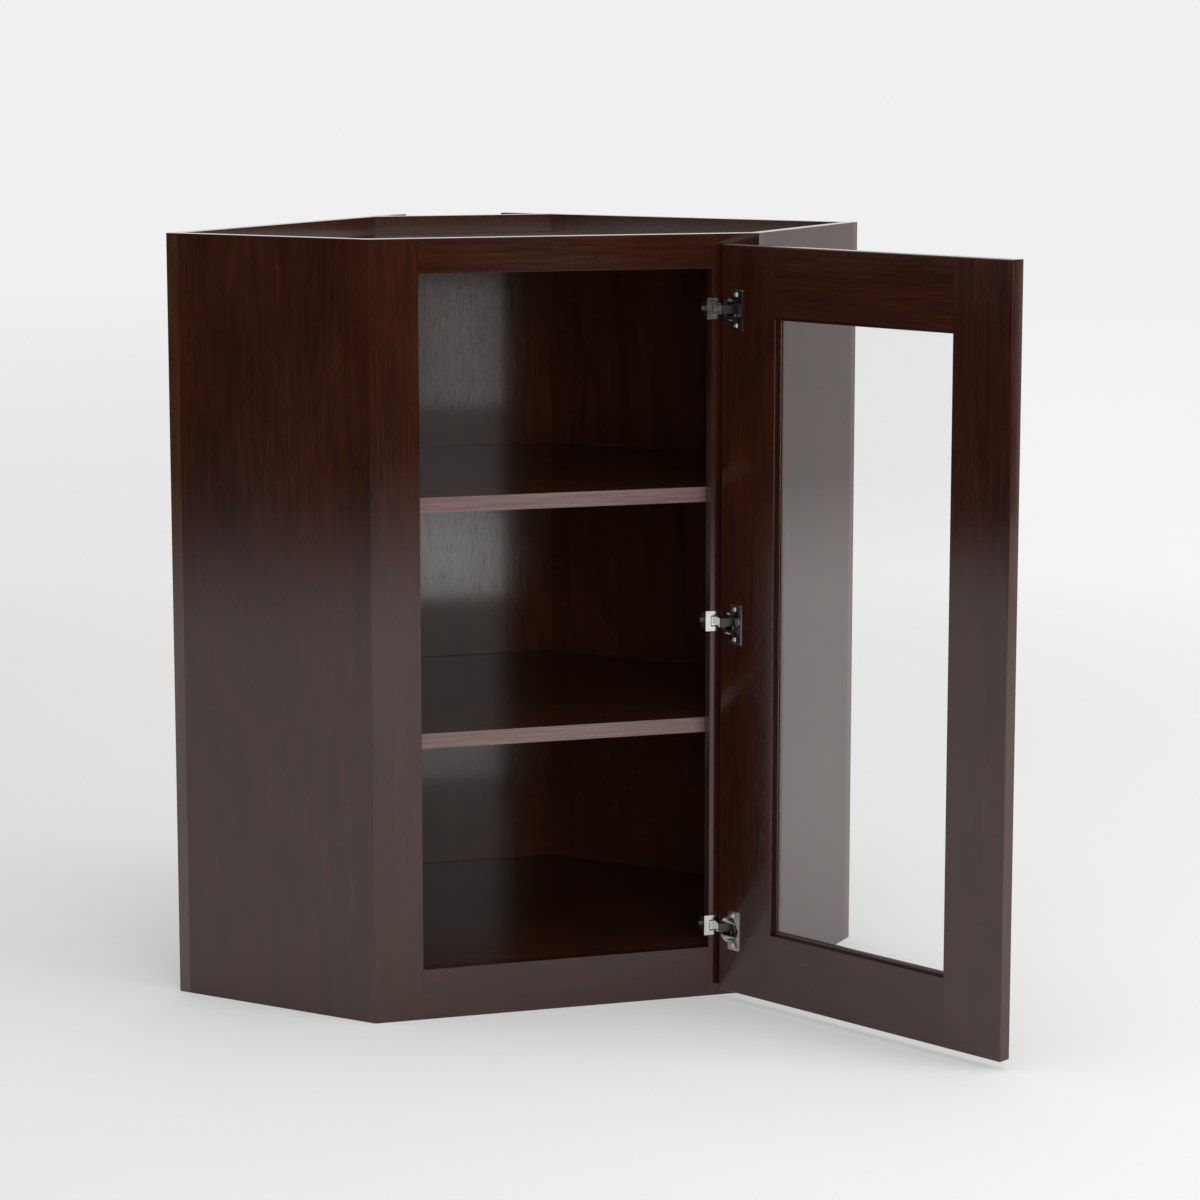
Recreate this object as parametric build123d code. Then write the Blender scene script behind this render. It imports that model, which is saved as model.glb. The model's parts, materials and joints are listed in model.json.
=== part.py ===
from build123d import *
from math import sqrt
import os

# Diagonal corner wall cabinet with one glazed door, standing open. Millimetres, +Z up.
# The origin is the room corner at the cabinet's underside: the left wall is the plane x = 0,
# the back wall is the plane y = 0, and the cabinet lies at x > 0, y < 0.
# "Front" coordinates (t, n, z) lie on the face frame: t runs along it from its left corner,
# n runs square into the cabinet from its front face, and z is up.

# Overall
wall_width = 609.6
cabinet_height = 914.4
side_depth = 279.4

# Boards
side_thickness = 15.0
back_thickness = 15.0
corner_board_thickness = 15.0
corner_board_width = 234.8
back_board_gap = 105.0
deck_thickness = 15.0
top_recess = 23.0
housing_depth = 5.0

# Face frame
frame_thickness = 18.0
frame_stile_width = 58.0
frame_top_rail_width = 40.0
frame_bottom_rail_width = 60.0
tenon_thickness = 8.0
tenon_length = 20.0
tenon_shoulder = 6.0
tenon_end_gap = 1.0

# Shelves
shelf_thickness = 18.0
shelf_clearance = 1.5
compartments = 3
peg_radius = 2.5
peg_depth = 9.0
peg_clearance = 0.05
rest_width = 10.0
rest_height = 8.0
rest_reach = 8.0
rest_lip = 1.6
peg_inset = 60.0

# Door
door_overlay = 33.25
door_thickness = 18.0
door_bottom_reveal = 11.2
door_top_reveal = 11.2
door_gap = 3.2
door_stile_width = 85.0
door_rail_width = 85.0
door_edge_radius = 1.2
bevel = 5.0
rebate_width = 4.5
rebate_depth = 10.5
bead_recess = 6.0
door_tenon_thickness = 5.0
door_tenon_length = 12.0
door_tenon_inset = 20.0
glass_thickness = 3.0
glass_clearance = 1.0
open_angle = 120.0

# Hinges
hinge_inset = 76.0
pin_radius = 1.25
pin_clearance = 0.05
pin_edge_distance = 9.5
pin_depth = 11.5
pin_half_length = 12.0
knuckle_radius = 2.3
cup_radius = 15.0
cup_edge_distance = 17.0
cup_depth = 15.2
cup_wall = 1.0
cup_bore_clearance = 0.1
cavity_half_height = 7.8
flange_thickness = 1.3
flange_radius = 16.0
wing_width = 18.0
wing_height = 47.5
wing_corner_radius = 1.5
flange_slot_length = 12.0
flange_slot_width = 1.6
flange_slot_height = 11.8
notch_depth = 1.6
arm_thickness = 1.6
arm_half_height = 5.2
arm_leg_distance = 7.0
arm_floor_gap = 0.5
arm_bend_radius = 2.2
tongue_start = 1.2
plate_thickness = 1.6
plate_height = 24.0
plate_overhang = 6.0
plate_reach = 10.75
slot_half_height = 5.7
slot_start = 0.6
slot_chamfer = 0.9
block_half_height = 9.0
block_depth = 16.0
screw_radius = 1.9
screw_clearance = 0.05
pilot_end_gap = 1.0
screw_sides = 12
cup_screw_head_radius = 3.0
cup_screw_head_height = 1.2
base_screw_depth = 11.5
base_screw_head_radius = 4.0
base_screw_head_height = 3.6
cup_screw_length = 12.0
cup_screw_height = 18.0
cup_screw_edge_distance = 22.0
base_screw_length = 26.0
arm_screw_length = 9.0
arm_screw_head_radius = 2.6
arm_screw_head_depth = 0.8

# Plan of the front
root_two = sqrt(2)
front_width = (wall_width - side_depth) * root_two
corner_distance = (wall_width + side_depth - 2 * back_thickness) / root_two
corner_board_depth = corner_distance - corner_board_width / 2

# Levels
top_rail_bottom = cabinet_height - frame_top_rail_width
floor_top = frame_bottom_rail_width
top_board_bottom = cabinet_height - top_recess - deck_thickness
compartment_height = (top_rail_bottom - floor_top - (compartments - 1) * shelf_thickness) / compartments
shelf_bottoms = [
    floor_top + step * compartment_height + (step - 1) * shelf_thickness for step in range(1, compartments)
]

# Door edges in front coordinates, closed
stile_edge = front_width - frame_stile_width
door_left = frame_stile_width - door_overlay
door_right = stile_edge + door_overlay
door_back = -door_gap
door_face = door_back - door_thickness
door_bottom = door_bottom_reveal
door_top = cabinet_height - door_top_reveal
glass_left = door_left + door_stile_width
glass_right = door_right - door_stile_width
glass_bottom = door_bottom + door_rail_width
glass_top = door_top - door_rail_width
hinge_heights = {
    "lower": door_bottom + hinge_inset,
    "middle": (door_bottom + door_top) / 2,
    "upper": door_top - hinge_inset,
}
pin_t = door_right - pin_edge_distance
pin_n = door_back - pin_depth
cup_t = door_right - cup_edge_distance
cup_screw_t = door_right - cup_screw_edge_distance
arm_screw_t = stile_edge + (tongue_start + arm_leg_distance) / 2

# From front coordinates to the cabinet's own, and the door's turn about the hinge pins
front = Location(Plane(origin=(side_depth, -wall_width, 0), x_dir=(1, 1, 0), z_dir=(0, 0, 1)))
door_turn = front * Pos(pin_t, pin_n, 0) * Rot(0, 0, open_angle) * Pos(-pin_t, -pin_n, 0)


def mirrored(points):
    """The same points on the other side of the cabinet's diagonal."""
    return [(-y, -x) for x, y in points]


def upright(points, bottom, top):
    """An outline seen from above, raised from bottom to top."""
    face = make_face(Polyline(*points, close=True))
    return Pos(0, 0, bottom) * extrude(face, top - bottom, dir=(0, 0, 1))


def block(t_range, n_range, z_range):
    """A block between two values along each front coordinate."""
    ranges = (t_range, n_range, z_range)
    middle = [(low + high) / 2 for low, high in ranges]
    size = [high - low for low, high in ranges]
    return Pos(*middle) * Box(*size)


def slab(points, near, far):
    """An outline in t and z, from n = near to n = far."""
    face = make_face(Polyline(*points, close=True))
    return Pos(0, far, 0) * Rot(90, 0, 0) * extrude(face, far - near, dir=(0, 0, 1))


def across(t, z, near, far, radius):
    """A round bar square to the face frame, from n = near to n = far."""
    return Pos(t, (near + far) / 2, z) * Rot(90, 0, 0) * Cylinder(radius, far - near)


def shank(radius, length):
    """A screw's or peg's shank along +Z from the origin, many-sided rather than round."""
    return extrude(RegularPolygon(radius, screw_sides), length, dir=(0, 0, 1))


def shank_across(t, z, near, far, radius):
    """A shank square to the face frame, from n = near to n = far."""
    return Pos(t, far, z) * Rot(90, 0, 0) * shank(radius, far - near)


def shank_along(n, z, left, right, radius):
    """A shank along the face frame, from t = left to t = right."""
    return Pos(left, n, z) * Rot(0, 90, 0) * shank(radius, right - left)


def interior(front_n, outward):
    """The inside outline seen from above, each board's inner face moved outward."""
    side_y = -wall_width + side_thickness - outward
    wall_x = back_thickness - outward
    corner_y = (corner_board_depth + outward) * root_two - wall_width - side_depth + wall_x
    half = [
        (side_depth + side_y + wall_width - front_n * root_two, side_y),
        (wall_x, side_y),
        (wall_x, corner_y),
    ]
    return half + mirrored(half)[::-1]


# Carcass boards


def top_board():
    outline = interior(frame_thickness, housing_depth)
    return upright(outline, top_board_bottom, top_board_bottom + deck_thickness)


def floor_board():
    outline = interior(frame_thickness, housing_depth)
    return upright(outline, floor_top - deck_thickness, floor_top)


def side_outline():
    frame_end = side_depth - frame_thickness * root_two
    outer = -wall_width
    inner = outer + side_thickness
    return [
        (back_thickness, outer),
        (frame_end, outer),
        (frame_end + side_thickness, inner),
        (back_thickness, inner),
    ]


def back_outline():
    return [
        (0, -wall_width),
        (back_thickness, -wall_width),
        (back_thickness, -back_board_gap),
        (0, -back_board_gap),
    ]


def corner_outline():
    shift = -wall_width - side_depth + back_thickness
    near = corner_board_depth * root_two + shift
    far = (corner_board_depth + corner_board_thickness) * root_two + shift
    half = [(back_thickness, near), (back_thickness, far)]
    return half + mirrored(half)[::-1]


def peg_spots():
    """Where the shelf pegs stand on the left boards, each with the way into the cabinet."""
    front_x = side_depth - frame_thickness * root_two - peg_inset
    rear_y = corner_outline()[0][1] - peg_inset
    return [
        ((front_x, -wall_width + side_thickness), (0, 1)),
        ((back_thickness, rear_y), (1, 0)),
    ]


def all_peg_spots():
    left = peg_spots()
    right = [(mirrored([spot])[0], mirrored([way])[0]) for spot, way in left]
    return left + right


def facing(spot, way, z):
    """A place on a board's inner face, its X along the way into the cabinet."""
    return Location(Plane(origin=(*spot, z), x_dir=(*way, 0), z_dir=(0, 0, 1)))


def peg(clearance):
    """A peg in a board, from the board's inner face outward, widened all round by a clearance."""
    return Rot(0, -90, 0) * shank(peg_radius + clearance, peg_depth + clearance)


def peg_holes():
    heights = [bottom - rest_height / 2 for bottom in shelf_bottoms]
    return [facing(spot, way, z) * peg(peg_clearance) for z in heights for spot, way in all_peg_spots()]


def shelf(bottom):
    outline = interior(frame_thickness + shelf_clearance, -shelf_clearance)
    return upright(outline, bottom, bottom + shelf_thickness)


def shelf_peg():
    """A peg with a flat rest in front of it, the rest's top at the shelf's underside."""
    rest = Pos(rest_reach / 2, 0, 0) * Box(rest_reach, rest_width, rest_height)
    hollow_reach = rest_reach - rest_lip
    hollow = Pos(rest_lip + hollow_reach / 2, 0, -rest_lip) * Box(hollow_reach, rest_width, rest_height)
    return peg(0) + (rest - hollow)


def shelf_pegs(bottom):
    z = bottom - rest_height / 2
    return Compound([facing(spot, way, z) * shelf_peg() for spot, way in all_peg_spots()])


# Face frame


def frame_stile():
    """The left stile, its outer edge cut at 45 degrees to run on as the cabinet's side."""
    outline = [
        (0, 0),
        (frame_stile_width, 0),
        (frame_stile_width, frame_thickness),
        (-frame_thickness, frame_thickness),
    ]
    return upright(outline, 0, cabinet_height)


def across_the_front(part):
    """The same part at the other end of the face frame."""
    middle = Plane(origin=(front_width / 2, 0, 0), x_dir=(0, 1, 0), z_dir=(1, 0, 0))
    return mirror(part, about=middle)


def frame_rail(bottom, top, tenon_bottom, tenon_top, end_gap):
    """A rail between the stiles with a stub tenon at each end."""
    middle = frame_thickness / 2
    n_tenon = (middle - tenon_thickness / 2, middle + tenon_thickness / 2)
    reach = tenon_length + end_gap
    rail = block((frame_stile_width, stile_edge), (0, frame_thickness), (bottom, top))
    return rail + block((frame_stile_width - reach, stile_edge + reach), n_tenon, (tenon_bottom, tenon_top))


def frame_top_rail(end_gap=0):
    tenon_top = cabinet_height - tenon_shoulder
    return frame_rail(top_rail_bottom, cabinet_height, top_rail_bottom, tenon_top, end_gap)


def frame_bottom_rail(end_gap=0):
    return frame_rail(0, frame_bottom_rail_width, tenon_shoulder, frame_bottom_rail_width, end_gap)


# Door


def door_blank():
    """The door's outer shape with eased edges, which every stile and rail is cut to."""
    blank = block((door_left, door_right), (door_face, door_back), (door_bottom, door_top))
    edges = blank.faces().filter_by(Axis.Y).edges()
    return fillet(edges, door_edge_radius)


def door_member(width, length):
    """A stile or rail standing along Z, its outer edge at x = 0 and its glass edge towards +X."""
    profile = [
        (0, 0),
        (width - rebate_width, 0),
        (width - rebate_width, -rebate_depth),
        (width, -rebate_depth),
        (width, bevel - door_thickness),
        (width - bevel, -door_thickness),
        (0, -door_thickness),
    ]
    return upright(profile, 0, length)


def door_tenons(bottom, top, end_gap):
    """The stub tenons of one rail, in one bar across the door."""
    middle = door_back - rebate_depth - (door_thickness - rebate_depth) / 2
    n_range = (middle - door_tenon_thickness / 2, middle + door_tenon_thickness / 2)
    reach = bevel + door_tenon_length + end_gap
    return block((glass_left - reach, glass_right + reach), n_range, (bottom, top))


def bottom_tenons(end_gap=0):
    return door_tenons(door_bottom + door_tenon_inset, glass_bottom - bevel, end_gap)


def top_tenons(end_gap=0):
    return door_tenons(glass_top + bevel, door_top - door_tenon_inset, end_gap)


def door_stiles():
    """The latch stile and the hinge stile, mortised for the rails."""
    height = door_top - door_bottom
    latch = Pos(door_left, door_back, door_bottom) * door_member(door_stile_width, height)
    hinge = across_the_front(latch)
    mortises = bottom_tenons(tenon_end_gap) + top_tenons(tenon_end_gap)
    return [(stile & door_blank()) - mortises for stile in (latch, hinge)]


def door_rails(stiles):
    """The bottom and top rails, their ends scribed over the stiles' inner edges."""
    lap = rebate_width
    length = glass_right - glass_left + 2 * lap
    rail = door_member(door_rail_width, length)
    bottom = Pos(glass_right + lap, door_back, door_bottom) * Rot(0, -90, 0) * rail
    middle_height = (door_bottom + door_top) / 2
    top = mirror(bottom, about=Plane(origin=(0, 0, middle_height), z_dir=(0, 0, 1)))
    rails = []
    for rail, tenons in ((bottom, bottom_tenons()), (top, top_tenons())):
        shaped = (rail & door_blank()) + tenons
        rails.append(shaped - stiles[0] - stiles[1])
    return rails


def glass_pane():
    reach = rebate_width - glass_clearance
    seat = door_back - rebate_depth
    return block(
        (glass_left - reach, glass_right + reach),
        (seat, seat + glass_thickness),
        (glass_bottom - reach, glass_top + reach),
    )


def glass_beads():
    """Four mitred strips that hold the pane in its rebate, set in from the door's back."""
    seat = door_back - rebate_depth + glass_thickness
    face = door_back - bead_recess
    left, right, bottom, top = glass_left, glass_right, glass_bottom, glass_top
    out = rebate_width
    low, high = bottom - out, top + out
    outer = [(left - out, low), (right + out, low), (right + out, high), (left - out, high)]
    inner = [(left, bottom), (right, bottom), (right, top), (left, top)]
    names = ("glass_bead_bottom", "glass_bead_hinge_side", "glass_bead_top", "glass_bead_latch_side")
    beads = {}
    for side, name in enumerate(names):
        after = (side + 1) % len(names)
        beads[name] = slab([outer[side], outer[after], inner[after], inner[side]], seat, face)
    return beads


# Hinges, each in front coordinates with z = 0 at its own height


def hinge_base():
    """A plate on the stile's face, slotted for the arm, with a block on the stile's edge."""
    left = stile_edge - plate_overhang
    right = stile_edge + plate_reach
    half_height = plate_height / 2
    face_plate = block((left, right), (-plate_thickness, 0), (-half_height, half_height))
    slot_height = 2 * slot_half_height
    slot = Pos(right, 0, 0) * Box(2 * (plate_reach - slot_start), 2 * plate_thickness, slot_height)
    face_plate = face_plate - slot
    lips = face_plate.faces().filter_by(Axis.Y).sort_by(Axis.Y)[0].edges().filter_by(Axis.X)
    slot_lips = [lip for lip in lips if abs(lip.center().Z) < half_height - slot_chamfer]
    face_plate = chamfer(slot_lips, slot_chamfer)
    edge_block = block((left, stile_edge), (0, block_depth), (-block_half_height, block_half_height))
    radius = screw_radius + screw_clearance
    return face_plate + edge_block - shank_along(base_screw_depth, 0, left, stile_edge, radius)


def hinge_arm():
    """A bent strip: a tongue on the stile, a leg outwards, and a reach to its knuckle on the pin."""
    leg_left = stile_edge + arm_leg_distance
    leg_right = leg_left + arm_thickness
    reach_outer = door_back - cup_depth + cup_wall + arm_floor_gap
    reach_inner = reach_outer + arm_thickness
    strip = make_face(
        Polyline(
            (stile_edge + tongue_start, 0),
            (stile_edge + tongue_start, -arm_thickness),
            (leg_left, -arm_thickness),
            (leg_left, reach_outer),
            (pin_t, reach_outer),
            (pin_t, reach_inner),
            (leg_right, reach_inner),
            (leg_right, 0),
            close=True,
        )
    )
    bend_corners = [corner for corner in strip.vertices() if abs(corner.X - leg_left) < arm_thickness / 2]
    outer_bend = min(bend_corners, key=lambda corner: corner.Y)
    strip = fillet(outer_bend, arm_bend_radius)
    knuckle = Pos(pin_t, pin_n) * Circle(knuckle_radius)
    bore = Pos(pin_t, pin_n) * Circle(pin_radius + pin_clearance)
    body = extrude(strip + knuckle - bore, arm_half_height, both=True)
    return body - arm_screw_shape(screw_clearance)


def hinge_cup():
    """A round cup with a winged flange, hollow between two cheeks that hold the pin."""
    bottom_n = door_back - cup_depth
    body = across(cup_t, 0, bottom_n, door_back, cup_radius)
    far = door_back + flange_thickness
    rim = across(cup_t, 0, door_back, far, flange_radius)
    wing_left = cup_t - flange_radius
    wing_heights = (-wing_height / 2, wing_height / 2)
    wings = block((wing_left, wing_left + wing_width), (door_back, far), wing_heights)
    wings = fillet(wings.edges().filter_by(Axis.Y).group_by(Axis.X)[0], wing_corner_radius)
    inner_radius = cup_radius - cup_wall
    hollow = across(cup_t, 0, bottom_n + cup_wall, far, inner_radius)
    cheek_gap = (-cavity_half_height, cavity_half_height)
    hollow = hollow & block((cup_t - inner_radius, cup_t + inner_radius), (bottom_n, far), cheek_gap)
    notch = block((cup_t, door_right), (door_back - notch_depth, far), cheek_gap)
    hole_length = 2 * (pin_half_length + pin_clearance)
    pin_hole = Pos(pin_t, pin_n, 0) * Cylinder(pin_radius + pin_clearance, hole_length)
    cup = body + rim + wings - hollow - notch - pin_hole
    for side in (-1, 1):
        hole_z = side * cup_screw_height
        cup -= shank_across(cup_screw_t, hole_z, door_back, far, screw_radius + screw_clearance)
        slot_left = cup_t - flange_slot_length / 2
        slot_z = side * flange_slot_height
        z_range = (slot_z - flange_slot_width / 2, slot_z + flange_slot_width / 2)
        t_range = (slot_left, slot_left + flange_slot_length)
        cup -= block(t_range, (door_back - flange_thickness, far), z_range)
    return cup


def hinge_pin():
    return Pos(pin_t, pin_n, 0) * Cylinder(pin_radius, 2 * pin_half_length)


def cup_screws():
    """Two pan-head screws through the flange's wings."""
    seat = door_back + flange_thickness
    screws = []
    for side in (-1, 1):
        z = side * cup_screw_height
        head = across(cup_screw_t, z, seat, seat + cup_screw_head_height, cup_screw_head_radius)
        screws.append(head + shank_across(cup_screw_t, z, seat - cup_screw_length, seat, screw_radius))
    return screws


def base_screw():
    """One tall-headed screw through the base's block into the stile's edge."""
    seat = stile_edge - plate_overhang
    head = Rot(0, -90, 0) * extrude(Circle(base_screw_head_radius), base_screw_head_height, dir=(0, 0, 1))
    head = Pos(seat, base_screw_depth, 0) * head
    return head + shank_along(base_screw_depth, 0, seat, seat + base_screw_length, screw_radius)


def arm_screw_shape(clearance):
    """The countersunk screw through the arm's tongue, widened all round by a clearance."""
    head_radius = arm_screw_head_radius + clearance
    shank_radius = screw_radius + clearance
    cone = Cone(head_radius, shank_radius, arm_screw_head_depth)
    head = Pos(arm_screw_t, arm_screw_head_depth / 2 - arm_thickness, 0) * Rot(-90, 0, 0) * cone
    end = arm_screw_length - arm_thickness
    return head + shank_across(arm_screw_t, 0, -arm_thickness, end, shank_radius)


def arm_screw():
    return arm_screw_shape(0)


def frame_pilot_holes(z):
    """The holes of one hinge's base and arm screws in the frame's right stile."""
    radius = screw_radius + screw_clearance
    base_end = stile_edge - plate_overhang + base_screw_length + pilot_end_gap
    arm_end = arm_screw_length - arm_thickness + pilot_end_gap
    return [
        shank_along(base_screw_depth, z, stile_edge, base_end, radius),
        shank_across(arm_screw_t, z, 0, arm_end, radius),
    ]


def door_hinge_cuts(z):
    """The cup's bore and the cup screws' holes in the door's hinge stile."""
    cup_end = door_back - cup_depth - cup_bore_clearance
    cuts = [across(cup_t, z, cup_end, door_back, cup_radius + cup_bore_clearance)]
    screw_end = door_back + flange_thickness - cup_screw_length - pilot_end_gap
    for side in (-1, 1):
        hole_z = z + side * cup_screw_height
        cuts.append(shank_across(cup_screw_t, hole_z, screw_end, door_back, screw_radius + screw_clearance))
    return cuts


# Assembly


def carcass():
    top = top_board()
    floor = floor_board()
    holes = peg_holes()
    outlines = {
        "left_side_panel": side_outline(),
        "right_side_panel": mirrored(side_outline()),
        "left_back_panel": back_outline(),
        "right_back_panel": mirrored(back_outline()),
        "corner_back_panel": corner_outline(),
    }
    boards = {"top_panel": top, "bottom_panel": floor}
    for name, outline in outlines.items():
        boards[name] = upright(outline, 0, cabinet_height) - top - floor - holes
    for name, bottom in zip(("lower", "upper"), shelf_bottoms):
        boards[f"{name}_shelf"] = shelf(bottom)
        boards[f"{name}_shelf_pegs"] = shelf_pegs(bottom)
    return boards


def face_frame():
    mortises = frame_top_rail(tenon_end_gap) + frame_bottom_rail(tenon_end_gap)
    left = frame_stile()
    right = across_the_front(left)
    for z in hinge_heights.values():
        right -= frame_pilot_holes(z)
    return {
        "frame_left_stile": left - mortises,
        "frame_right_stile": right - mortises,
        "frame_top_rail": frame_top_rail(),
        "frame_bottom_rail": frame_bottom_rail(),
    }


def door():
    latch, hinge = door_stiles()
    bottom, top = door_rails((latch, hinge))
    for z in hinge_heights.values():
        hinge -= door_hinge_cuts(z)
    return {
        "door_latch_stile": latch,
        "door_hinge_stile": hinge,
        "door_bottom_rail": bottom,
        "door_top_rail": top,
        "glass_pane": glass_pane(),
        **glass_beads(),
    }


def hinges_on_frame():
    pieces = {}
    for name, z in hinge_heights.items():
        pieces[f"{name}_hinge_base"] = Pos(0, 0, z) * hinge_base()
        pieces[f"{name}_hinge_arm"] = Pos(0, 0, z) * hinge_arm()
    pieces["hinge_base_screws"] = Compound([Pos(0, 0, z) * base_screw() for z in hinge_heights.values()])
    pieces["hinge_arm_screws"] = Compound([Pos(0, 0, z) * arm_screw() for z in hinge_heights.values()])
    return pieces


def hinges_on_door():
    pieces = {}
    for name, z in hinge_heights.items():
        pieces[f"{name}_hinge_cup"] = Pos(0, 0, z) * hinge_cup()
        pieces[f"{name}_hinge_pin"] = Pos(0, 0, z) * hinge_pin()
    screws = [Pos(0, 0, z) * screw for z in hinge_heights.values() for screw in cup_screws()]
    pieces["hinge_cup_screws"] = Compound(screws)
    return pieces


def write_parts():
    os.makedirs("parts", exist_ok=True)
    parts = carcass()
    for name, part in {**face_frame(), **hinges_on_frame()}.items():
        parts[name] = front * part
    for name, part in {**door(), **hinges_on_door()}.items():
        parts[name] = door_turn * part
    for name, part in parts.items():
        export_step(part, f"parts/{name}.step")
    axis = front * Pos(pin_t, pin_n, 0)
    print("hinge axis", axis.position)
    print("shelf undersides", shelf_bottoms)


write_parts()
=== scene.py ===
import json
import math

import bmesh
import bpy
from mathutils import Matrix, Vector

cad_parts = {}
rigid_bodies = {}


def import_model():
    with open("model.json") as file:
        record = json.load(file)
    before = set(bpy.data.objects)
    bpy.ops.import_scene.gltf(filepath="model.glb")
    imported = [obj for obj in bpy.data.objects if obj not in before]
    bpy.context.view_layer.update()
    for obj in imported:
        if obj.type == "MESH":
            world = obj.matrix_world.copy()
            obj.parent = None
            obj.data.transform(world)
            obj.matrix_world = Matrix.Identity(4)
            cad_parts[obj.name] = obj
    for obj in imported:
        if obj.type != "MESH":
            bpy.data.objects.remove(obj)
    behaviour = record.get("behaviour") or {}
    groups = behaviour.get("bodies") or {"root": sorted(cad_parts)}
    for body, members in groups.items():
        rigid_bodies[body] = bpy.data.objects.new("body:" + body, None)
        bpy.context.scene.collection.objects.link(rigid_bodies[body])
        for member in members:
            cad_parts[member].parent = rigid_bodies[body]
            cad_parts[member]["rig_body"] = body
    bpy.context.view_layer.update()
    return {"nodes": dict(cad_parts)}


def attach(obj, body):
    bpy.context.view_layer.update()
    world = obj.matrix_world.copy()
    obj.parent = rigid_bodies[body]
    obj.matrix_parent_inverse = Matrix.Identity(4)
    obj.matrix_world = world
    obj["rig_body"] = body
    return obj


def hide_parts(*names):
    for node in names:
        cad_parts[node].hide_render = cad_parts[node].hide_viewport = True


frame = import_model()
scene = bpy.context.scene
print("corner cabinet: frame loaded")


# shader helpers: a Val is a socket that can be used in a sum
class Val:
    def __init__(self, tree, socket):
        self.tree, self.socket = tree, socket

    def sum(self, operation, *values):
        return self.tree.add("ShaderNodeMath", {"operation": operation}, dict(enumerate(values)))

    def __add__(self, other): return self.sum("ADD", self, other)
    def __radd__(self, other): return self.sum("ADD", other, self)
    def __sub__(self, other): return self.sum("SUBTRACT", self, other)
    def __rsub__(self, other): return self.sum("SUBTRACT", other, self)
    def __mul__(self, other): return self.sum("MULTIPLY", self, other)
    def __rmul__(self, other): return self.sum("MULTIPLY", other, self)
    def __truediv__(self, other): return self.sum("DIVIDE", self, other)
    def __rtruediv__(self, other): return self.sum("DIVIDE", other, self)
    def __pow__(self, other): return self.sum("POWER", self, other)


class Tree:
    def __init__(self, nodeTree):
        self.nodes, self.links = nodeTree.nodes, nodeTree.links

    # settings first, then the values or links of the sockets
    def add(self, kind, settings=None, sockets=None, out=0):
        node = self.nodes.new(kind)
        for name, value in (settings or {}).items():
            setattr(node, name, value)
        for name, value in (sockets or {}).items():
            if isinstance(value, Val):
                self.links.new(value.socket, node.inputs[name])
            elif isinstance(value, list) and isinstance(value[0], Val):
                for one in value:
                    self.links.new(one.socket, node.inputs[name])
            else:
                node.inputs[name].default_value = value
        return Val(self, node.outputs[out]) if len(node.outputs) else node

    def noise(self, place, scale, detail=2.0, roughness=0.5, distortion=0.0):
        sockets = {"Vector": place, "Scale": scale, "Detail": detail}
        sockets.update({"Roughness": roughness, "Distortion": distortion})
        return self.add("ShaderNodeTexNoise", {"noise_dimensions": "3D"}, sockets)

    def tint(self, mask, first, second, blend="MIX"):
        node = {"data_type": "RGBA", "blend_type": blend, "clamp_factor": True}
        return self.add("ShaderNodeMix", node, {0: mask, 6: first, 7: second}, out=2)

    def remap(self, value, fromLow, fromHigh, toLow=0.0, toHigh=1.0):
        sockets = {0: value, 1: fromLow, 2: fromHigh, 3: toLow, 4: toHigh}
        return self.add("ShaderNodeMapRange", {"clamp": True}, sockets)

    # the place on the piece, in metres, and one axis of a vector
    def place(self):
        return self.add("ShaderNodeTexCoord", out="Object")

    def height(self, vector):
        return self.add("ShaderNodeSeparateXYZ", None, {0: vector}, out="Z")

    def along(self, vector, direction):
        return self.add("ShaderNodeVectorMath", {"operation": "DOT_PRODUCT"}, {0: vector, 1: direction}, out="Value")

    def stretched(self, vector, scale):
        return self.add("ShaderNodeMapping", None, {"Vector": vector, "Scale": scale})


def newMaterial(name):
    material = bpy.data.materials.new(name)
    material.use_nodes = True
    material.node_tree.nodes.clear()
    return material, Tree(material.node_tree)


def finishMaterial(tree, shader):
    tree.add("ShaderNodeOutputMaterial", None, {"Surface": shader})


# espresso stain under satin lacquer; grain is the way the board's fibres run
stain = {
    "dark": (0.0150, 0.0042, 0.0024, 1),
    "body": (0.0270, 0.0074, 0.0040, 1),
    "warm": (0.0560, 0.0130, 0.0056, 1),
    "pore": (0.0060, 0.0020, 0.0014, 1),
    "sheen": 0.67,
    "lacquer": 0.10,
}
# the inside boards: the same stain painted lighter, painted light for the light that reaches into the cabinet
paintedLightInsideStain = {
    "dark": (0.0230, 0.0074, 0.0034, 1),
    "body": (0.0420, 0.0150, 0.0060, 1),
    "warm": (0.0780, 0.0250, 0.0090, 1),
    "pore": (0.0090, 0.0030, 0.0020, 1),
    "sheen": 1.00,
    "lacquer": 0.11,
}
# the shelves' front edges carry a lighter banding
banding = {
    "dark": (0.118, 0.066, 0.058, 1),
    "body": (0.148, 0.084, 0.074, 1),
    "warm": (0.184, 0.100, 0.082, 1),
    "pore": (0.080, 0.044, 0.038, 1),
    "sheen": 0.80,
    "lacquer": 0.26,
}


# the top edges of the cabinet and its door are rubbed smoother than the faces
topEdges = {"from": 0.898, "to": 0.902, "facingFrom": 0.5, "facingTo": 0.9, "polish": 0.8}

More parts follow.
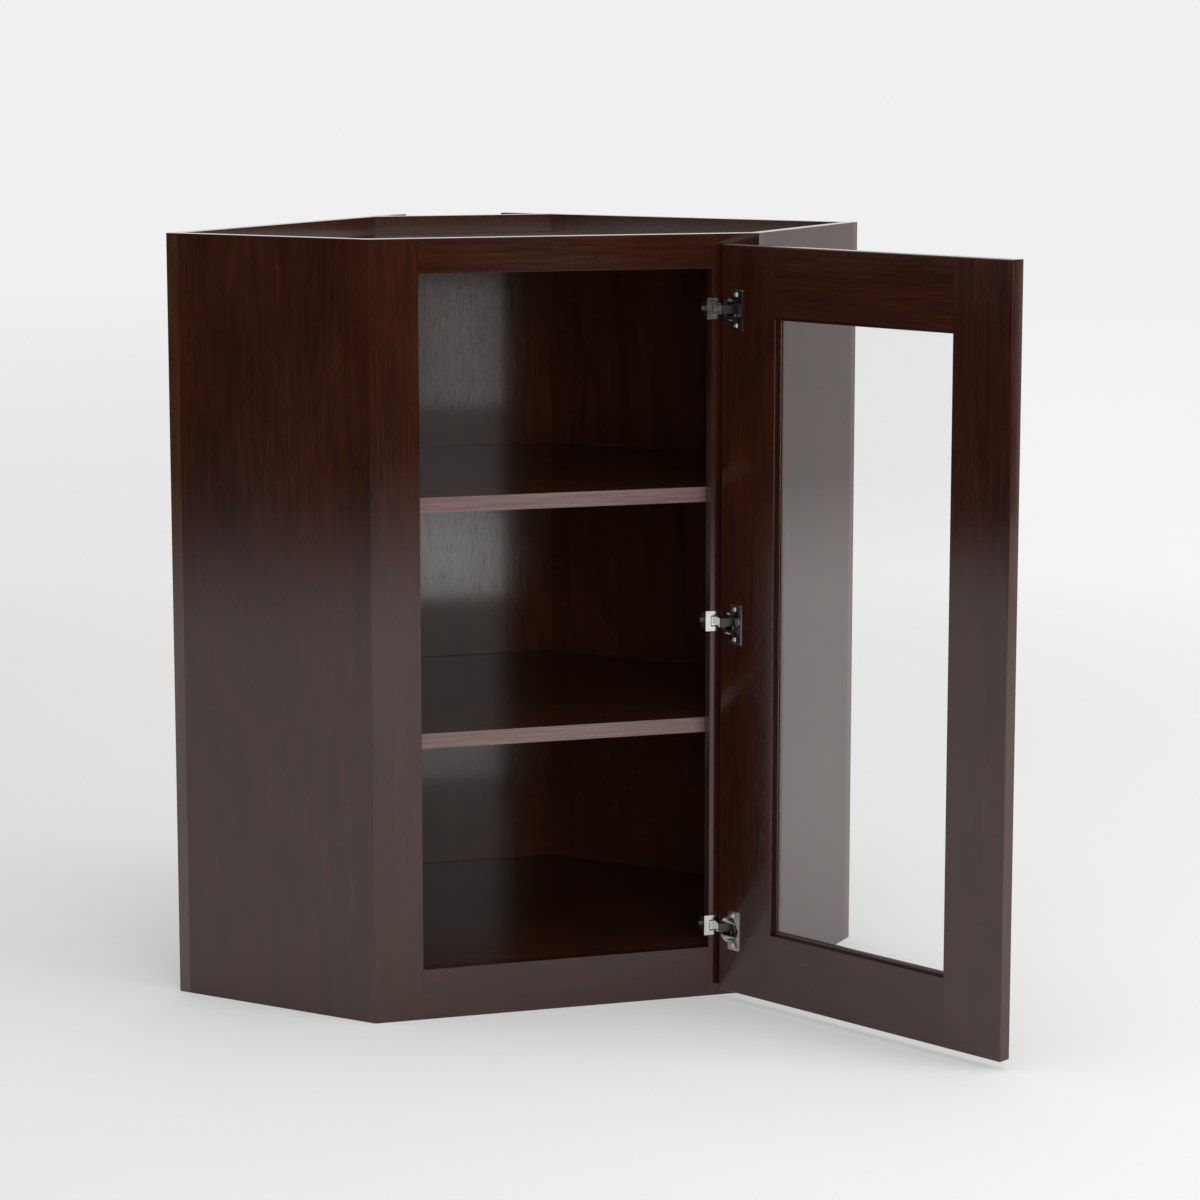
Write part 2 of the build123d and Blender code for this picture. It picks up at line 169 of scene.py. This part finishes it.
# each layer of the grain: how it is squeezed along and across the fibres, detail, roughness, twist
grain = {
    "clouds": ((2.2, 9.0, 9.0), 3.0, 0.55, 0.4),
    "figure": ((4.2, 24.0, 24.0), 4.0, 0.6, 1.6),
    "fibres": ((14.0, 420.0, 420.0), 3.0, 0.6, 0.2),
    "pores": ((55.0, 1500.0, 1500.0), 1.0, 0.5, 0.0),
    "boardShift": (1.0, 0.61, 0.37), "figureShare": 0.38, "poreShare": 0.35, "fibreTone": (0.78, 1.22),
    "fibreGloss": (-0.015, 0.025), "handGloss": (-0.02, 0.03), "poreGloss": 0.05,
    "cloudSpan": (0.30, 0.70), "figureSpan": (0.34, 0.66), "fibreSpan": (0.30, 0.72), "poreSpan": (0.60, 0.68),
    "glossSpan": (0.3, 0.7), "handScale": 5.0,
    "relief": 0.035, "reliefDepth": 0.0004, "fibreRise": 0.5, "poreFall": 0.6,
}


def polishedTop(tree, place):
    facing = tree.height(tree.add("ShaderNodeNewGeometry", out="Normal"))
    level = tree.remap(tree.height(place), topEdges["from"], topEdges["to"])
    return level * tree.remap(facing, topEdges["facingFrom"], topEdges["facingTo"])


def stainedWood(name, turn, stain, streak=1.0):
    material, tree = newMaterial(name)
    place = tree.place()
    shift = tree.add("ShaderNodeAttribute", {"attribute_name": "boardShift"}, out="Fac")
    offset = {axis: shift * share for axis, share in enumerate(grain["boardShift"])}
    fibreWay = tree.add("ShaderNodeMapping", None, {"Vector": place, "Rotation": turn})
    fibreWay = tree.add("ShaderNodeVectorMath", {"operation": "ADD"}, {
        0: fibreWay, 1: tree.add("ShaderNodeCombineXYZ", None, offset)})

    def layer(which):
        scale, *look = grain[which]
        return tree.noise(tree.stretched(fibreWay, scale), 1.0, *look)

    clouds, figure, fibres = layer("clouds"), layer("figure"), layer("fibres")
    flecks = tree.remap(layer("pores"), *grain["poreSpan"])
    colour = tree.tint(tree.remap(clouds, *grain["cloudSpan"]), stain["dark"], stain["body"])
    streaks = tree.remap(figure, *grain["figureSpan"]) * (grain["figureShare"] * streak)
    colour = tree.tint(streaks, colour, stain["warm"])
    fibreTone = tree.remap(fibres, *grain["fibreSpan"], *grain["fibreTone"])
    grey = tree.add("ShaderNodeCombineColor", None, {0: fibreTone, 1: fibreTone, 2: fibreTone})
    colour = tree.tint(1.0, colour, grey, "MULTIPLY")
    colour = tree.tint(flecks * grain["poreShare"], colour, stain["pore"])
    hands = tree.noise(place, grain["handScale"], 3.0)
    fibreGloss = tree.remap(fibres, *grain["glossSpan"], *grain["fibreGloss"])
    gloss = stain["lacquer"] + fibreGloss + flecks * grain["poreGloss"]
    gloss = gloss + tree.remap(hands, *grain["glossSpan"], *grain["handGloss"])
    gloss = gloss - polishedTop(tree, place) * (stain["lacquer"] * topEdges["polish"])
    height = fibres * grain["fibreRise"] - flecks * grain["poreFall"]
    relief = tree.add("ShaderNodeBump", None, {
        "Strength": grain["relief"], "Distance": grain["reliefDepth"], "Height": height})
    sockets = {"Base Color": colour, "Roughness": gloss, "Normal": relief, "Specular IOR Level": stain["sheen"]}
    finishMaterial(tree, tree.add("ShaderNodeBsdfPrincipled", None, sockets))
    return material


quarter = math.pi / 2
uprightWood = stainedWood("uprightWood", (0, quarter, 0), stain)
frontWood = stainedWood("frontWood", (0, 0, -math.pi / 4), stain)
doorRailWood = stainedWood("doorRailWood", (0, 0, math.radians(15)), stain)
# the boards and shelves inside the cabinet take the lighter inside stain: painted light
paintedLightInsideWood = stainedWood("paintedLightInsideWood", (0, quarter, 0), paintedLightInsideStain)
shelfWood = stainedWood("shelfWood", (0, 0, -math.pi / 4), paintedLightInsideStain)
shelfBanding = stainedWood("shelfBanding", (0, 0, -math.pi / 4), banding, 0.6)

nickelLook = {"colour": (0.74, 0.73, 0.71, 1), "roughness": 0.12, "scuff": 0.07}
# dark nickel: the base screws' metal, and painted shade on the hinge arms and cup walls
darkNickelAndShadeLook = {"colour": (0.085, 0.08, 0.078, 1), "roughness": 0.24, "scuff": 0.12}
plating = {
    "smudgeScale": 90.0, "scuffSpan": (0.35, 0.7), "wornSpan": (0.4, 0.7), "worn": 0.86,
    "brushScale": 2600.0, "brushStretch": (1, 1, 0.05), "relief": 0.05, "reliefDepth": 0.0001,
}


def platedMetal(name, look):
    material, tree = newMaterial(name)
    place = tree.place()
    smudge = tree.noise(place, plating["smudgeScale"], 3.0, 0.6)
    brushed = tree.noise(tree.stretched(place, plating["brushStretch"]), plating["brushScale"], 1.0)
    rough = look["roughness"] + tree.remap(smudge, *plating["scuffSpan"], 0.0, look["scuff"])
    worn = [channel * plating["worn"] for channel in look["colour"][:3]] + [1]
    colour = tree.tint(tree.remap(smudge, *plating["wornSpan"]), look["colour"], worn)
    relief = tree.add("ShaderNodeBump", None, {
        "Strength": plating["relief"], "Distance": plating["reliefDepth"], "Height": brushed})
    sockets = {"Base Color": colour, "Roughness": rough, "Metallic": 1.0, "Normal": relief}
    finishMaterial(tree, tree.add("ShaderNodeBsdfPrincipled", None, sockets))
    return material


nickel = platedMetal("platedNickel", nickelLook)
darkNickelAndPaintedShade = platedMetal("platedDarkNickelAndPaintedShade", darkNickelAndShadeLook)

paneLook = {
    "tint": (0.955, 0.972, 0.968, 1), "ior": 1.5, "filmScale": 6.0, "filmSpan": (0.45, 0.80), "filmRoughness": 0.003}


def clearGlass():
    material, tree = newMaterial("paneGlass")
    smears = tree.noise(tree.place(), paneLook["filmScale"], 3.0, 0.6)
    film = tree.remap(smears, *paneLook["filmSpan"], 0.0, paneLook["filmRoughness"])
    sockets = {"Base Color": paneLook["tint"], "Roughness": film, "IOR": paneLook["ior"], "Transmission Weight": 1.0}
    finishMaterial(tree, tree.add("ShaderNodeBsdfPrincipled", None, sockets))
    return material


paneGlass = clearGlass()
print("corner cabinet: materials made")


# boards: a merged copy of each CAD node with softly broken edges
boardFinish = {
    "weld": 1e-6, "flat": 0.5, "edgeBreak": 0.0003, "segments": 2, "edgeAngle": 35.0, "smoothTo": 15,
    "bandFacing": 0.9, "shiftStep": 0.731,
}
boardMaterials = {
    "top_panel": shelfWood, "bottom_panel": shelfWood, "lower_shelf": shelfWood, "upper_shelf": shelfWood,
    "left_back_panel": paintedLightInsideWood, "right_back_panel": paintedLightInsideWood, "corner_back_panel": paintedLightInsideWood,
    "frame_top_rail": frontWood, "frame_bottom_rail": frontWood,
    "door_top_rail": doorRailWood, "door_bottom_rail": doorRailWood,
    "glass_bead_top": doorRailWood, "glass_bead_bottom": doorRailWood,
}
boards = [
    "left_side_panel", "right_side_panel", "left_back_panel", "right_back_panel", "corner_back_panel",
    "top_panel", "bottom_panel", "lower_shelf", "upper_shelf",
    "frame_left_stile", "frame_right_stile", "frame_top_rail", "frame_bottom_rail",
    "door_latch_stile", "door_hinge_stile", "door_top_rail", "door_bottom_rail",
    "glass_bead_top", "glass_bead_bottom", "glass_bead_hinge_side", "glass_bead_latch_side",
]


def mergedCopy(nodeName):
    shape = bmesh.new()
    shape.from_mesh(frame["nodes"][nodeName].data)
    bmesh.ops.remove_doubles(shape, verts=shape.verts, dist=boardFinish["weld"])
    flat = math.radians(boardFinish["flat"])
    bmesh.ops.dissolve_limit(shape, angle_limit=flat, verts=shape.verts, edges=shape.edges)
    return shape


def newPiece(name, shape, material):
    mesh = bpy.data.meshes.new(name)
    shape.to_mesh(mesh)
    shape.free()
    mesh.materials.clear()
    mesh.materials.append(material)
    piece = bpy.data.objects.new(name, mesh)
    scene.collection.objects.link(piece)
    return piece


def settleModifiers(piece):
    bpy.context.view_layer.update()
    graph = bpy.context.evaluated_depsgraph_get()
    mesh = bpy.data.meshes.new_from_object(piece.evaluated_get(graph))
    piece.modifiers.clear()
    piece.data = mesh


def softenEdges(piece, width, segments, angle):
    bevel = piece.modifiers.new("edges", "BEVEL")
    bevel.width, bevel.segments = width, segments
    bevel.limit_method, bevel.angle_limit = "ANGLE", math.radians(angle)
    bevel.harden_normals = False
    settleModifiers(piece)


def smoothUpTo(piece, degrees):
    piece.data.polygons.foreach_set("use_smooth", [True] * len(piece.data.polygons))
    piece.data.set_sharp_from_angle(angle=math.radians(degrees))


def standFor(piece, nodeNames):
    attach(piece, frame["nodes"][nodeNames[0]]["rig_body"])
    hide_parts(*nodeNames)


# out of the cabinet, square to the face frame
outward = Vector((1, -1, 0)).normalized()


def bandFrontEdge(piece):
    piece.data.materials.append(shelfBanding)
    for face in piece.data.polygons:
        face.material_index = int(face.normal.dot(outward) > boardFinish["bandFacing"])


def camel(nodeName):
    first, *rest = nodeName.split("_")
    return first + "".join(word.capitalize() for word in rest)


for number, nodeName in enumerate(boards):
    piece = newPiece(camel(nodeName), mergedCopy(nodeName), boardMaterials.get(nodeName, uprightWood))
    softenEdges(piece, boardFinish["edgeBreak"], boardFinish["segments"], boardFinish["edgeAngle"])
    shift = piece.data.attributes.new("boardShift", "FLOAT", "POINT")
    shift.data.foreach_set("value", [boardFinish["shiftStep"] * (number + 1)] * len(piece.data.vertices))
    smoothUpTo(piece, boardFinish["smoothTo"])
    if nodeName.endswith("_shelf"):
        bandFrontEdge(piece)
    standFor(piece, [nodeName])
print("corner cabinet: boards dressed")


# hinges: smooth copies with bright broken edges
hingeFinish = {
    "edgeBreak": 0.00018, "segments": 2, "edgeAngle": 40.0,
    "bend": 0.0035, "bendSide": 1.2, "lip": 0.0005, "lipFacing": 0.9,
    "smoothTo": {"base": 5.0, "arm": 12.0, "cup": 20.0, "pin": 30.0},
}
frameCorner = Vector((0.2794, -0.6096, 0))
frontPlane = outward.dot(frameCorner)
doorInner = Vector((-0.2588, -0.9659, 0))
cupLip = max(corner.co.dot(doorInner) for corner in frame["nodes"]["door_hinge_stile"].data.vertices)


# painted shade and painted reflection: the arm past its first bend and the walls inside the cup take the dark nickel,
# standing in for the shade and dark reflections there
def pastTheBend(face):
    past = face.center.dot(outward) > frontPlane + hingeFinish["bend"]
    return past and abs(face.normal.dot(Vector((1, 1, 0)))) < hingeFinish["bendSide"]


def insideTheCup(face):
    deep = face.center.dot(doorInner) < cupLip - hingeFinish["lip"]
    return deep and face.normal.dot(doorInner) < hingeFinish["lipFacing"]


paintedShadeFaces = {"arm": pastTheBend, "cup": insideTheCup}
for level in ("lower", "middle", "upper"):
    for part in ("base", "arm", "cup", "pin"):
        nodeName = f"{level}_hinge_{part}"
        piece = newPiece(camel(nodeName), mergedCopy(nodeName), nickel)
        if part != "pin":
            softenEdges(piece, hingeFinish["edgeBreak"], hingeFinish["segments"], hingeFinish["edgeAngle"])
        smoothUpTo(piece, hingeFinish["smoothTo"][part])
        if part in paintedShadeFaces:
            piece.data.materials.append(darkNickelAndPaintedShade)
            for face in piece.data.polygons:
                face.material_index = int(paintedShadeFaces[part](face))
        standFor(piece, [nodeName])

# these stay the frame's own pieces
for nodeName, material in (("glass_pane", paneGlass), ("lower_shelf_pegs", nickel), ("upper_shelf_pegs", nickel)):
    frame["nodes"][nodeName].data.materials.clear()
    frame["nodes"][nodeName].data.materials.append(material)
print("corner cabinet: hinges dressed")


# screws: one tree makes them all, with a cross recess cut in each head
screwRows = {
    "hinge_cup_screws": {
        "toward": (-0.2588, -0.9659, 0), "seat": 0.0030, "crown": 0.0023, "rise": 0.0012, "length": 0.0118,
        "metal": nickel},
    "hinge_base_screws": {
        "toward": (-0.7071, -0.7071, 0), "seat": 0.0040, "crown": 0.0034, "rise": 0.0036, "length": 0.0258,
        "metal": darkNickelAndPaintedShade},
    "hinge_arm_screws": {
        "toward": (0.7071, -0.7071, 0), "seat": 0.0019, "crown": 0.0026, "rise": 0.0008, "length": 0.0081,
        "metal": nickel},
}
screwCut = {
    "shank": 0.0019, "slotWidth": 0.00075, "slotDepth": 0.00055, "slotReach": 0.78,
    "headSides": 40, "shankSides": 24, "spin": 3.1, "seed": 4, "smoothTo": 25,
}
screwInputs = [
    ("Places", "Geometry", None), ("Seat Radius", "Float", 0.003), ("Crown Radius", "Float", 0.003),
    ("Head Height", "Float", 0.001), ("Shank Radius", "Float", 0.002), ("Shank Length", "Float", 0.01),
    ("Slot Width", "Float", 0.0007), ("Slot Depth", "Float", 0.0005), ("Slot Reach", "Float", 0.7),
    ("Toward", "Vector", None), ("Seed", "Int", 0), ("Metal", "Material", None),
]


def screwTree():
    group = bpy.data.node_groups.new("crossHeadScrew", "GeometryNodeTree")
    for name, kind, value in screwInputs:
        socket = group.interface.new_socket(name, in_out="INPUT", socket_type="NodeSocket" + kind)
        if value is not None:
            socket.default_value = value
    group.interface.new_socket("Screws", in_out="OUTPUT", socket_type="NodeSocketGeometry")
    tree = Tree(group)
    source = group.nodes.new("NodeGroupInput")
    value = {socket.name: Val(tree, socket) for socket in source.outputs if socket.name}
    crown, rise, length = value["Crown Radius"], value["Head Height"], value["Shank Length"]

    def vector(x, y, z):
        return tree.add("ShaderNodeCombineXYZ", None, {0: x, 1: y, 2: z})

    def lowered(mesh, z):
        return tree.add("GeometryNodeTransform", None, {"Geometry": mesh, "Translation": vector(0.0, 0.0, z)})

    head = tree.add("GeometryNodeMeshCone", None, {
        "Vertices": screwCut["headSides"], "Radius Top": crown, "Radius Bottom": value["Seat Radius"], "Depth": rise})
    head = lowered(head, rise * -1.0)
    shaft = tree.add("GeometryNodeMeshCylinder", None, {
        "Vertices": screwCut["shankSides"], "Radius": value["Shank Radius"], "Depth": length})
    shaft = lowered(shaft, length * -0.5 - rise)
    wide, thin, deep = crown * value["Slot Reach"] * 2.0, value["Slot Width"], value["Slot Depth"] * 2.0
    for slot in (vector(wide, thin, deep), vector(thin, wide, deep)):
        cutter = tree.add("GeometryNodeMeshCube", None, {"Size": slot})
        cut = {"operation": "DIFFERENCE", "solver": "EXACT"}
        head = tree.add("GeometryNodeMeshBoolean", cut, {0: head, 1: [cutter]})
    whole = tree.add("GeometryNodeJoinGeometry", None, {0: [head, shaft]})
    turn = tree.add("FunctionNodeAlignRotationToVector", {"axis": "Z"}, {"Vector": value["Toward"]})
    spin = tree.add("FunctionNodeRandomValue", {"data_type": "FLOAT"}, {
        2: 0.0, 3: screwCut["spin"], "Seed": value["Seed"]}, out=1)
    spin = tree.add("FunctionNodeAxisAngleToRotation", None, {"Axis": (0.0, 0.0, 1.0), "Angle": spin})
    turn = tree.add("FunctionNodeRotateRotation", {"rotation_space": "LOCAL"}, {0: turn, 1: spin})
    points = tree.add("GeometryNodeMeshToPoints", None, {"Mesh": value["Places"]})
    rows = tree.add("GeometryNodeInstanceOnPoints", None, {"Points": points, "Instance": whole, "Rotation": turn})
    rows = tree.add("GeometryNodeRealizeInstances", None, {0: rows})
    rows = tree.add("GeometryNodeSetMaterial", None, {"Geometry": rows, "Material": value["Metal"]})
    tree.add("NodeGroupOutput", None, {0: rows})
    return group


# each screw of a CAD node is one loose part; its place is the middle of its head's outer face
def headPlaces(nodeName, toward):
    shape = mergedCopy(nodeName)
    left, places = set(shape.verts), []
    while left:
        island, queue = [], [left.pop()]
        while queue:
            corner = queue.pop()
            island.append(corner.co.copy())
            near = [edge.other_vert(corner) for edge in corner.link_edges]
            queue += [other for other in near if other in left]
            left.difference_update(near)
        top = max(point.dot(toward) for point in island)
        rim = [point for point in island if point.dot(toward) > top - 1e-5]
        low, high = [Vector([pick(point[axis] for point in rim) for axis in range(3)]) for pick in (min, max)]
        places.append((low + high) / 2)
    shape.free()
    return places


screwGroup = screwTree()
for nodeName, row in screwRows.items():
    toward = Vector(row["toward"])
    mesh = bpy.data.meshes.new(camel(nodeName))
    mesh.from_pydata(headPlaces(nodeName, toward), [], [])
    piece = bpy.data.objects.new(camel(nodeName), mesh)
    scene.collection.objects.link(piece)
    modifier = piece.modifiers.new("screws", "NODES")
    modifier.node_group = screwGroup
    sizes = {
        "Seat Radius": row["seat"], "Crown Radius": row["crown"], "Head Height": row["rise"],
        "Shank Radius": screwCut["shank"], "Shank Length": row["length"],
        "Slot Width": screwCut["slotWidth"], "Slot Depth": screwCut["slotDepth"],
        "Slot Reach": screwCut["slotReach"], "Toward": row["toward"], "Seed": screwCut["seed"], "Metal": row["metal"],
    }
    for item in screwGroup.interface.items_tree:
        if item.in_out == "INPUT" and item.name in sizes:
            modifier[item.identifier] = sizes[item.name]
    settleModifiers(piece)
    piece.data.materials.clear()
    piece.data.materials.append(row["metal"])
    smoothUpTo(piece, screwCut["smoothTo"])
    standFor(piece, [nodeName])
    print("corner cabinet:", nodeName, len(piece.data.polygons), "faces")


# floor and backdrop: the paper fades into a glowing backdrop away from the cabinet; near it about a quarter of the
# glow is mixed in, painted light that lifts the cabinet's shadow
studio = {
    "floorColour": (0.86, 0.86, 0.86, 1), "floorSize": 30.0, "middle": (0.5, -0.5),
    "fadeStart": 0.5, "fadeEnd": 3.4, "paintedLightNearShare": 0.26, "plainFrom": 12.0, "plainTo": 3.0,
    "paper": (0.87, 0.87, 0.87, 1), "shadedPaper": (0.775, 0.775, 0.775, 1), "lightPaper": (0.92, 0.92, 0.92, 1),
    "shadedSide": (0.2, -1.2), "lightSide": (0.3, 1.3), "acrossView": (0.88, 0.47, 0),
    "room": (1.0, 0.99, 0.98, 1), "roomLight": 0.53,
    "glossFrom": 2.8, "glossTo": 4.6, "glossWay": (0.17, -0.98, 0), "glossSide": (-1.8, -1.0),
}


def makeFloor():
    shape = bmesh.new()
    bmesh.ops.create_grid(shape, x_segments=8, y_segments=8, size=studio["floorSize"])
    material, tree = newMaterial("floorPaper")
    middle = (-studio["middle"][0], -studio["middle"][1], 0)
    centred = tree.add("ShaderNodeMapping", None, {"Vector": tree.place(), "Location": middle})
    distance = tree.add("ShaderNodeVectorMath", {"operation": "LENGTH"}, {0: centred}, out="Value")
    far = tree.remap(distance, studio["fadeStart"], studio["fadeEnd"], studio["paintedLightNearShare"], 1.0)
    paper = tree.add("ShaderNodeBsdfDiffuse", None, {"Color": studio["floorColour"]})
    sideways = tree.along(centred, studio["acrossView"])
    toning = tree.remap(distance, studio["plainFrom"], studio["plainTo"])
    # painted light: the glowing paper is painted shaded on one side of the view and lighter on the other
    paperWithPaintedSideLight = tree.tint(tree.remap(sideways, *studio["shadedSide"]) * toning, studio["paper"], studio["shadedPaper"])
    paperWithPaintedSideLight = tree.tint(tree.remap(sideways, *studio["lightSide"]) * toning, paperWithPaintedSideLight, studio["lightPaper"])
    glow = tree.add("ShaderNodeEmission", None, {"Color": paperWithPaintedSideLight, "Strength": 1.0})
    shown = tree.add("ShaderNodeMixShader", None, {0: far, 1: paper, 2: glow})
    # painted dark reflection: seen in gloss, the far floor in front glows almost black
    inGloss = tree.add("ShaderNodeLightPath", out="Is Glossy Ray")
    forward = tree.remap(tree.along(centred, studio["glossWay"]), *studio["glossSide"])
    dim = inGloss * forward * tree.remap(distance, studio["glossFrom"], studio["glossTo"])
    dark = tree.add("ShaderNodeEmission", None, {"Color": (1, 1, 1, 1), "Strength": reflectors["paintedDarkReflection"]["glow"]})
    finishMaterial(tree, tree.add("ShaderNodeMixShader", None, {0: dim, 1: shown, 2: dark}))
    newPiece("studioFloor", shape, material)


def makeWorld():
    world = bpy.data.worlds.new("studioWorld")
    scene.world = world
    world.use_nodes = True
    world.node_tree.nodes.clear()
    tree = Tree(world.node_tree)

    def isRay(kind):
        return tree.add("ShaderNodeLightPath", out=f"Is {kind} Ray")

    camera = isRay("Camera")
    shown = camera.sum("MINIMUM", camera + isRay("Glossy") + isRay("Transmission"), 1.0)
    room = tree.add("ShaderNodeBackground", None, {"Color": studio["room"], "Strength": studio["roomLight"]})
    paper = tree.add("ShaderNodeBackground", None, {"Color": studio["paper"], "Strength": 1.0})
    surface = tree.add("ShaderNodeMixShader", None, {0: shown, 1: room, 2: paper})
    tree.add("ShaderNodeOutputWorld", None, {"Surface": surface})


# reflectors: only gloss sees them; a near-black sheet around the studio, painted dark reflection, and a glowing strip
# standing in it, painted highlight
reflectors = {
    "paintedDarkReflection": {
        "centre": (0.4, -0.4), "radius": 4.7, "from": -100.0, "to": 125.0, "steps": 40, "height": 1.05,
        "glow": 0.004},
    "paintedHighlightStrip": {
        "at": (2.178, -1.377), "faces": 59.5, "width": 0.205, "height": 0.66, "glow": 2.25, "topGlow": 1.12,
        "dimFrom": 0.18, "dimTo": 0.36},
    "foot": 0.001,
}


def onlyInGloss(piece):
    piece.visible_camera = piece.visible_diffuse = piece.visible_shadow = False
    piece.visible_transmission = piece.visible_volume_scatter = False


def glowMaterial(name, glow):
    material, tree = newMaterial(name)
    finishMaterial(tree, tree.add("ShaderNodeEmission", None, {"Color": (1, 1, 1, 1), "Strength": glow(tree)}))
    return material


# painted highlight: the strip glows brighter near its foot and dimmer higher up
def paintedHighlightGlow(tree):
    strip = reflectors["paintedHighlightStrip"]
    dimming = strip["height"] * strip["dimFrom"], strip["height"] * strip["dimTo"]
    return tree.remap(tree.height(tree.place()), *dimming, strip["glow"], strip["topGlow"])


def standingSheet(name, outline, height, material):
    shape = bmesh.new()
    foot = reflectors["foot"]
    for first, second in zip(outline, outline[1:]):
        corners = [(*first, foot), (*second, foot), (*second, height), (*first, height)]
        shape.faces.new([shape.verts.new(corner) for corner in corners])
    onlyInGloss(newPiece(name, shape, material))


def makeReflectors():
    side = reflectors["paintedDarkReflection"]
    middle, span = Vector(side["centre"]), side["to"] - side["from"]
    angles = [math.radians(side["from"] + span * step / side["steps"]) for step in range(side["steps"] + 1)]
    ring = [tuple(middle + Vector((math.sin(a), -math.cos(a))) * side["radius"]) for a in angles]
    dark = glowMaterial("paintedDarkReflectionGlow", lambda tree: side["glow"])
    standingSheet("paintedDarkReflectionSheet", ring, side["height"], dark)
    strip = reflectors["paintedHighlightStrip"]
    turn, middle = math.radians(strip["faces"]), Vector(strip["at"])
    half = Vector((math.cos(turn), math.sin(turn))) * strip["width"] / 2
    ends = [tuple(middle - half), tuple(middle + half)]
    standingSheet("paintedHighlightStripSheet", ends, strip["height"], glowMaterial("paintedHighlightGlow", paintedHighlightGlow))


lamps = {
    "frontSoftbox": {"at": (2.9, -3.4, 1.25), "toward": (0.3, -0.4, 0.45), "size": (2.4, 2.4), "power": 52.0},
    "rightSoftbox": {"at": (4.4, 0.2, 1.5), "toward": (0.4, -0.3, 0.3), "size": (2.4, 2.4), "power": 104.0},
    "overhead": {"at": (0.4, -0.4, 4.2), "toward": (0.4, -0.4, 0.0), "size": (3.4, 3.4), "power": 45.0},
}


def makeLamps():
    for name, look in lamps.items():
        light = bpy.data.lights.new(name, "AREA")
        light.shape, light.size, light.size_y = "RECTANGLE", *look["size"]
        light.energy = look["power"]
        lamp = bpy.data.objects.new(name, light)
        lamp.location = look["at"]
        lamp.visible_glossy = False  # the reflectors make the highlights
        lamp.rotation_euler = (Vector(look["toward"]) - Vector(look["at"])).to_track_quat("-Z", "Y").to_euler()
        scene.collection.objects.link(lamp)


makeFloor()
makeWorld()
makeReflectors()
makeLamps()
print("corner cabinet: studio set")


# camera: the photograph's angle; the lens is tilted a little, where the photograph keeps its uprights parallel
photoCamera = {
    "at": (2.27547, -3.71577, 1.12796), "turn": 0.5001, "tilt": -0.1426, "lens": 97.74, "shift": -0.07,
    "sensor": 36.0, "farEnd": 200.0,
}


def makeCamera():
    data = bpy.data.cameras.new("photoCamera")
    data.sensor_width, data.lens, data.shift_y = photoCamera["sensor"], photoCamera["lens"], photoCamera["shift"]
    data.clip_end = photoCamera["farEnd"]
    camera = bpy.data.objects.new("photoCamera", data)
    camera.location = photoCamera["at"]
    camera.rotation_euler = (math.pi / 2 + photoCamera["tilt"], 0, photoCamera["turn"])
    scene.collection.objects.link(camera)
    scene.camera = camera


makeCamera()
scene.view_settings.view_transform = "Standard"
print("corner cabinet: ready")
